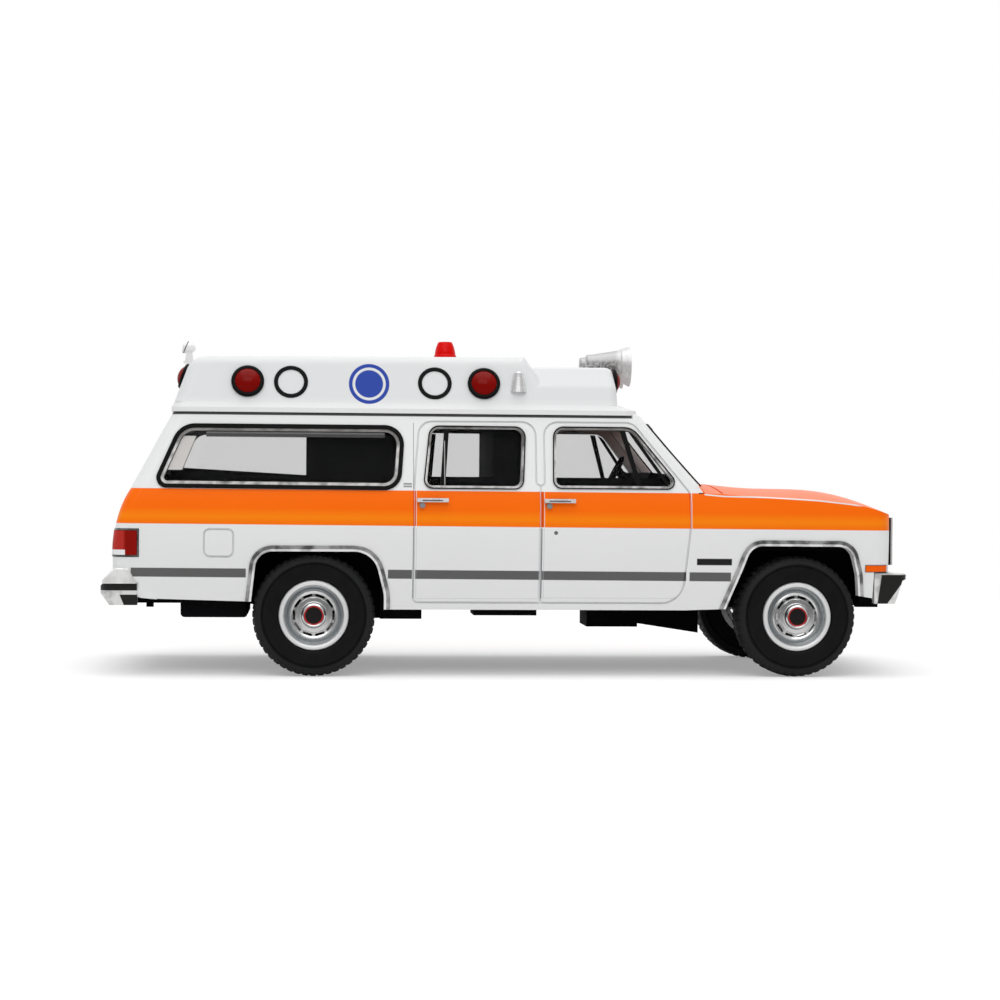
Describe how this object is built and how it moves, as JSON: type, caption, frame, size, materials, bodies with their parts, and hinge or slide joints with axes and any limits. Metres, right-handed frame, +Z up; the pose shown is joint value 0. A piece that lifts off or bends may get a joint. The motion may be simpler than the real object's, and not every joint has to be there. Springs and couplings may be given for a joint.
{
  "type": "die-cast scale model ambulance",
  "caption": "Small die-cast model of a raised-roof ambulance wagon with an orange band, roof lamps and siren horns, rolling on two turning axles.",
  "frame": {"origin": "on the ground under the middle of the model, half way between the bumper tips", "axes": "+X towards the front of the vehicle, +Y to its left, +Z up"},
  "size_m": [0.0856, 0.0322, 0.0361],
  "materials": {
    "body_paint": "gloss",
    "smoked_glass": "gloss",
    "chrome_trim": "polished",
    "black_trim": "gloss",
    "red_lens": "gloss",
    "amber_lens": "gloss",
    "clear_lens": "gloss",
    "silver_paint": "satin",
    "rim_silver": "satin",
    "tyre_rubber": "matte",
    "hub_cap": "gloss",
    "black_plastic": "satin",
    "steel": "brushed"
  },
  "bodies": {
    "body": {"arch_trims": "silver_paint", "base_plate": "black_plastic", "base_rivets": "steel", "beacon": "red_lens", "bell_lamps": "chrome_trim", "body_shell": "body_paint", "door_handles": "chrome_trim", "floodlight": "chrome_trim", "front_bumper": "chrome_trim", "glazing": "smoked_glass", "grille": "chrome_trim", "headlamps": "clear_lens", "interior_tub": "black_plastic", "rear_bumper": "chrome_trim", "roof_box": "body_paint", "side_light_rings": "black_trim", "side_markers": "amber_lens", "siren_horns": "silver_paint", "steering_wheel": "black_plastic", "tail_lamp_bezels": "black_trim", "tail_lamps": "red_lens", "turn_lamps": "amber_lens", "warning_lamp_bezels": "black_trim", "warning_lamp_lenses": "red_lens", "wheel_wells": "black_plastic", "window_gaskets": "black_trim", "window_trims": "chrome_trim"},
    "front_wheels": {"front_axle": "steel", "front_left_rim": "rim_silver", "front_left_tyre": "tyre_rubber", "front_left_hub_cap": "hub_cap", "front_right_rim": "rim_silver", "front_right_tyre": "tyre_rubber", "front_right_hub_cap": "hub_cap"},
    "rear_wheels": {"rear_axle": "steel", "rear_left_rim": "rim_silver", "rear_left_tyre": "tyre_rubber", "rear_left_hub_cap": "hub_cap", "rear_right_rim": "rim_silver", "rear_right_tyre": "tyre_rubber", "rear_right_hub_cap": "hub_cap"}
  },
  "joints": [
    {"name": "front_axle_roll", "type": "hinge", "parent": "body", "child": "front_wheels", "pos_m": [0.0308, 0, 0.00645], "axis": [0, 1, 0], "continuous": true},
    {"name": "rear_axle_roll", "type": "hinge", "parent": "body", "child": "rear_wheels", "pos_m": [-0.02059, 0, 0.00645], "axis": [0, 1, 0], "continuous": true}
  ]
}
